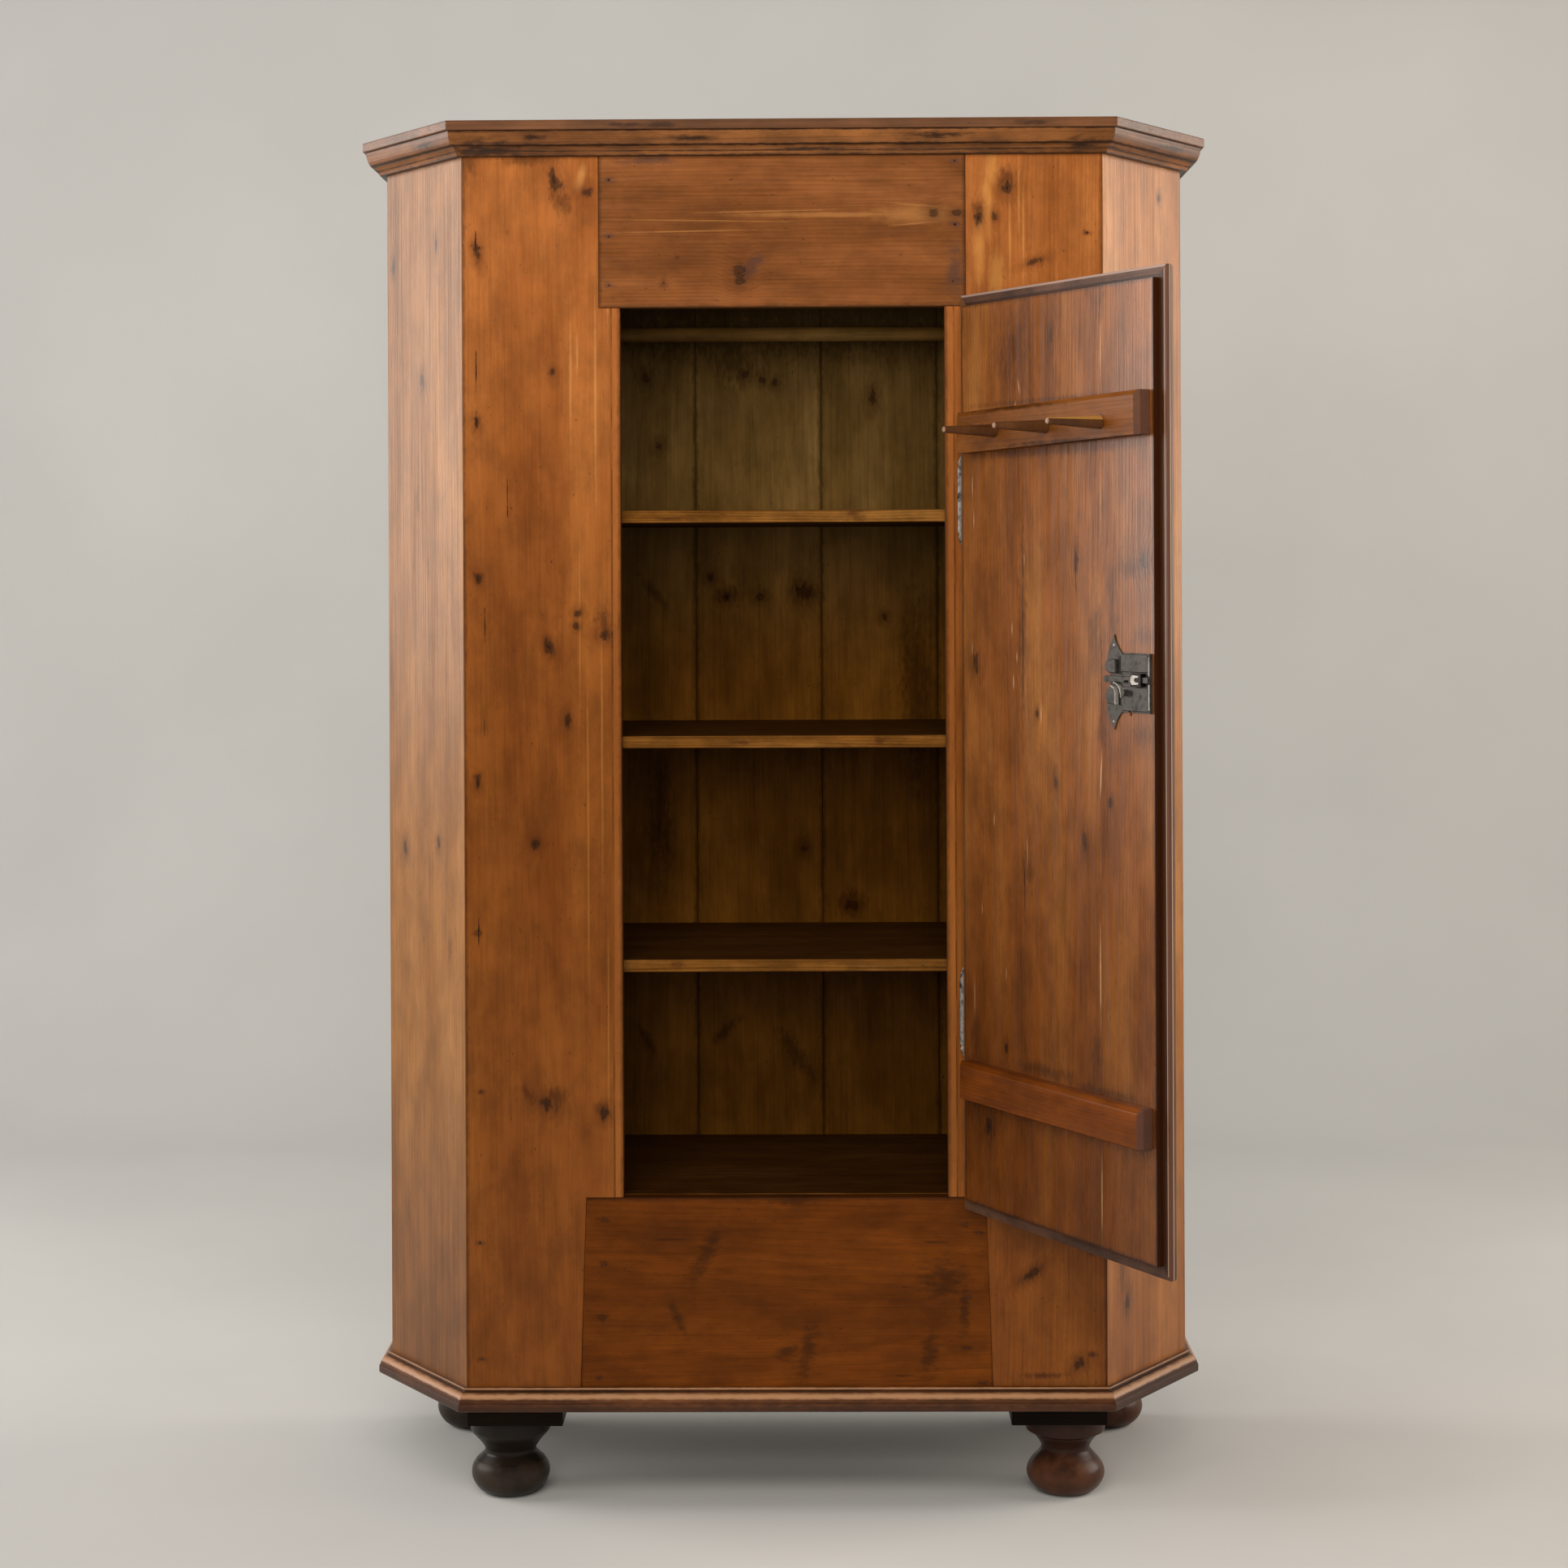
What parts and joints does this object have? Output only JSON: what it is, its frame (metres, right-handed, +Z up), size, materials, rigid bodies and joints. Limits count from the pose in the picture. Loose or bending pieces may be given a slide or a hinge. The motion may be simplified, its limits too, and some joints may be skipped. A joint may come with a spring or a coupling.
{
  "type": "cupboard",
  "caption": "Free-standing pine cupboard with canted front corners, a lipped boarded door on pin hinges with a rim lock, shelves, a hanging rail, a stepped cornice and turned bun feet.",
  "frame": {"origin": "on the floor, on the centre line, half way between the front frame's face and the back boards' outer face", "axes": "+X to the right as seen from the front, +Y from the front to the back, +Z up"},
  "size_m": [1.173, 0.8638, 1.85],
  "materials": {
    "stained_pine": "stained and waxed pine, satin",
    "moulding_pine": "darker stained and waxed pine, worn on the edges",
    "inside_pine": "bare pine gone brown, matt",
    "ebonised_wood": "black-stained turned wood, satin",
    "forged_iron": "forged iron, dark with worn edges"
  },
  "bodies": {
    "carcass": {"back_board_1": "inside_pine", "back_board_2": "inside_pine", "back_board_3": "inside_pine", "back_board_4": "inside_pine", "back_board_5": "inside_pine", "back_board_6": "inside_pine", "base_board": "inside_pine", "base_moulding_cant_left": "moulding_pine", "base_moulding_cant_right": "moulding_pine", "base_moulding_front": "moulding_pine", "base_moulding_side_left": "moulding_pine", "base_moulding_side_right": "moulding_pine", "bottom_rail": "stained_pine", "cant_panel_left": "stained_pine", "cant_panel_right": "stained_pine", "cornice_cant_left": "moulding_pine", "cornice_cant_right": "moulding_pine", "cornice_front": "moulding_pine", "cornice_side_left": "moulding_pine", "cornice_side_right": "moulding_pine", "cupboard_floor": "inside_pine", "foot_front_left": "ebonised_wood", "foot_front_right": "ebonised_wood", "foot_rear_left": "ebonised_wood", "foot_rear_right": "ebonised_wood", "front_pads": "moulding_pine", "hanging_rail": "inside_pine", "hinge_frame_lower": "forged_iron", "hinge_frame_upper": "forged_iron", "rail_sockets": "inside_pine", "rear_pads": "moulding_pine", "shelf_cleats": "inside_pine", "shelf_lower": "inside_pine", "shelf_middle": "inside_pine", "shelf_upper": "inside_pine", "side_panel_left": "stained_pine", "side_panel_right": "stained_pine", "stile_left": "stained_pine", "stile_right": "stained_pine", "top_board": "moulding_pine", "top_rail": "stained_pine"},
    "door": {"batten_lower": "stained_pine", "batten_upper": "stained_pine", "bolt_staple": "forged_iron", "coat_pegs": "stained_pine", "door_board_narrow": "stained_pine", "door_board_wide": "stained_pine", "door_lip_bottom": "moulding_pine", "door_lip_free": "moulding_pine", "door_lip_hinge": "moulding_pine", "door_lip_top": "moulding_pine", "hinge_door_lower": "forged_iron", "hinge_door_upper": "forged_iron", "key_escutcheon": "forged_iron", "key_post": "forged_iron", "lock_plate": "forged_iron", "lock_spring": "forged_iron"},
    "bolt": {"lock_bolt": "forged_iron"}
  },
  "joints": [
    {"name": "door_hinge", "type": "hinge", "parent": "carcass", "child": "door", "pos_m": [0.2373, -0.2305, 0], "axis": [0, 0, 1], "range_deg": [-119.4, 45]},
    {"name": "bolt_slide", "type": "slide", "parent": "door", "child": "bolt", "axis": [0.4909, -0.8712, 0], "range_m": [0, 0.012]}
  ]
}
